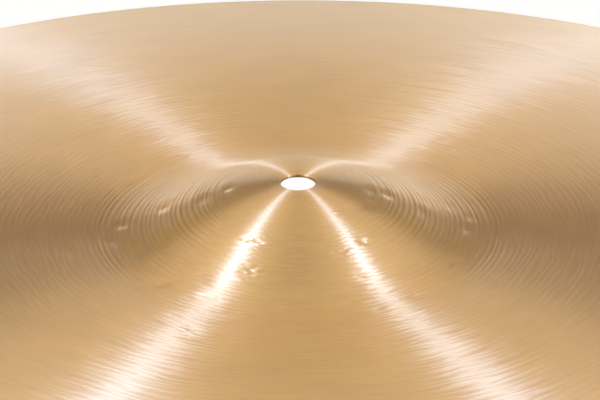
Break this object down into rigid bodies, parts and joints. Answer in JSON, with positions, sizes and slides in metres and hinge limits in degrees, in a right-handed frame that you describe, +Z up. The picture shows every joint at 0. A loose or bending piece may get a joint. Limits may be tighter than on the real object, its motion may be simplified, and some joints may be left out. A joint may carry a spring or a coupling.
{
  "type": "suspended cymbal",
  "caption": "Turned bell-bronze disc with a raised bell, a flared shoulder and a bowed body that thins to the rim; a centre hole takes the stand's rod.",
  "frame": {"origin": "centre of the circle that the rim rests on", "axes": "+Z up through the centre hole, from the rim's plane towards the bell; +Y away from the picture's viewer, +X to the viewer's right"},
  "size_m": [0.5588, 0.5588, 0.0547],
  "materials": {
    "bell_bronze": "lathe-turned satin bell bronze with tonal grooves and shallow hammer marks"
  },
  "bodies": {
    "root": {"cymbal": "bell_bronze"}
  },
  "joints": []
}
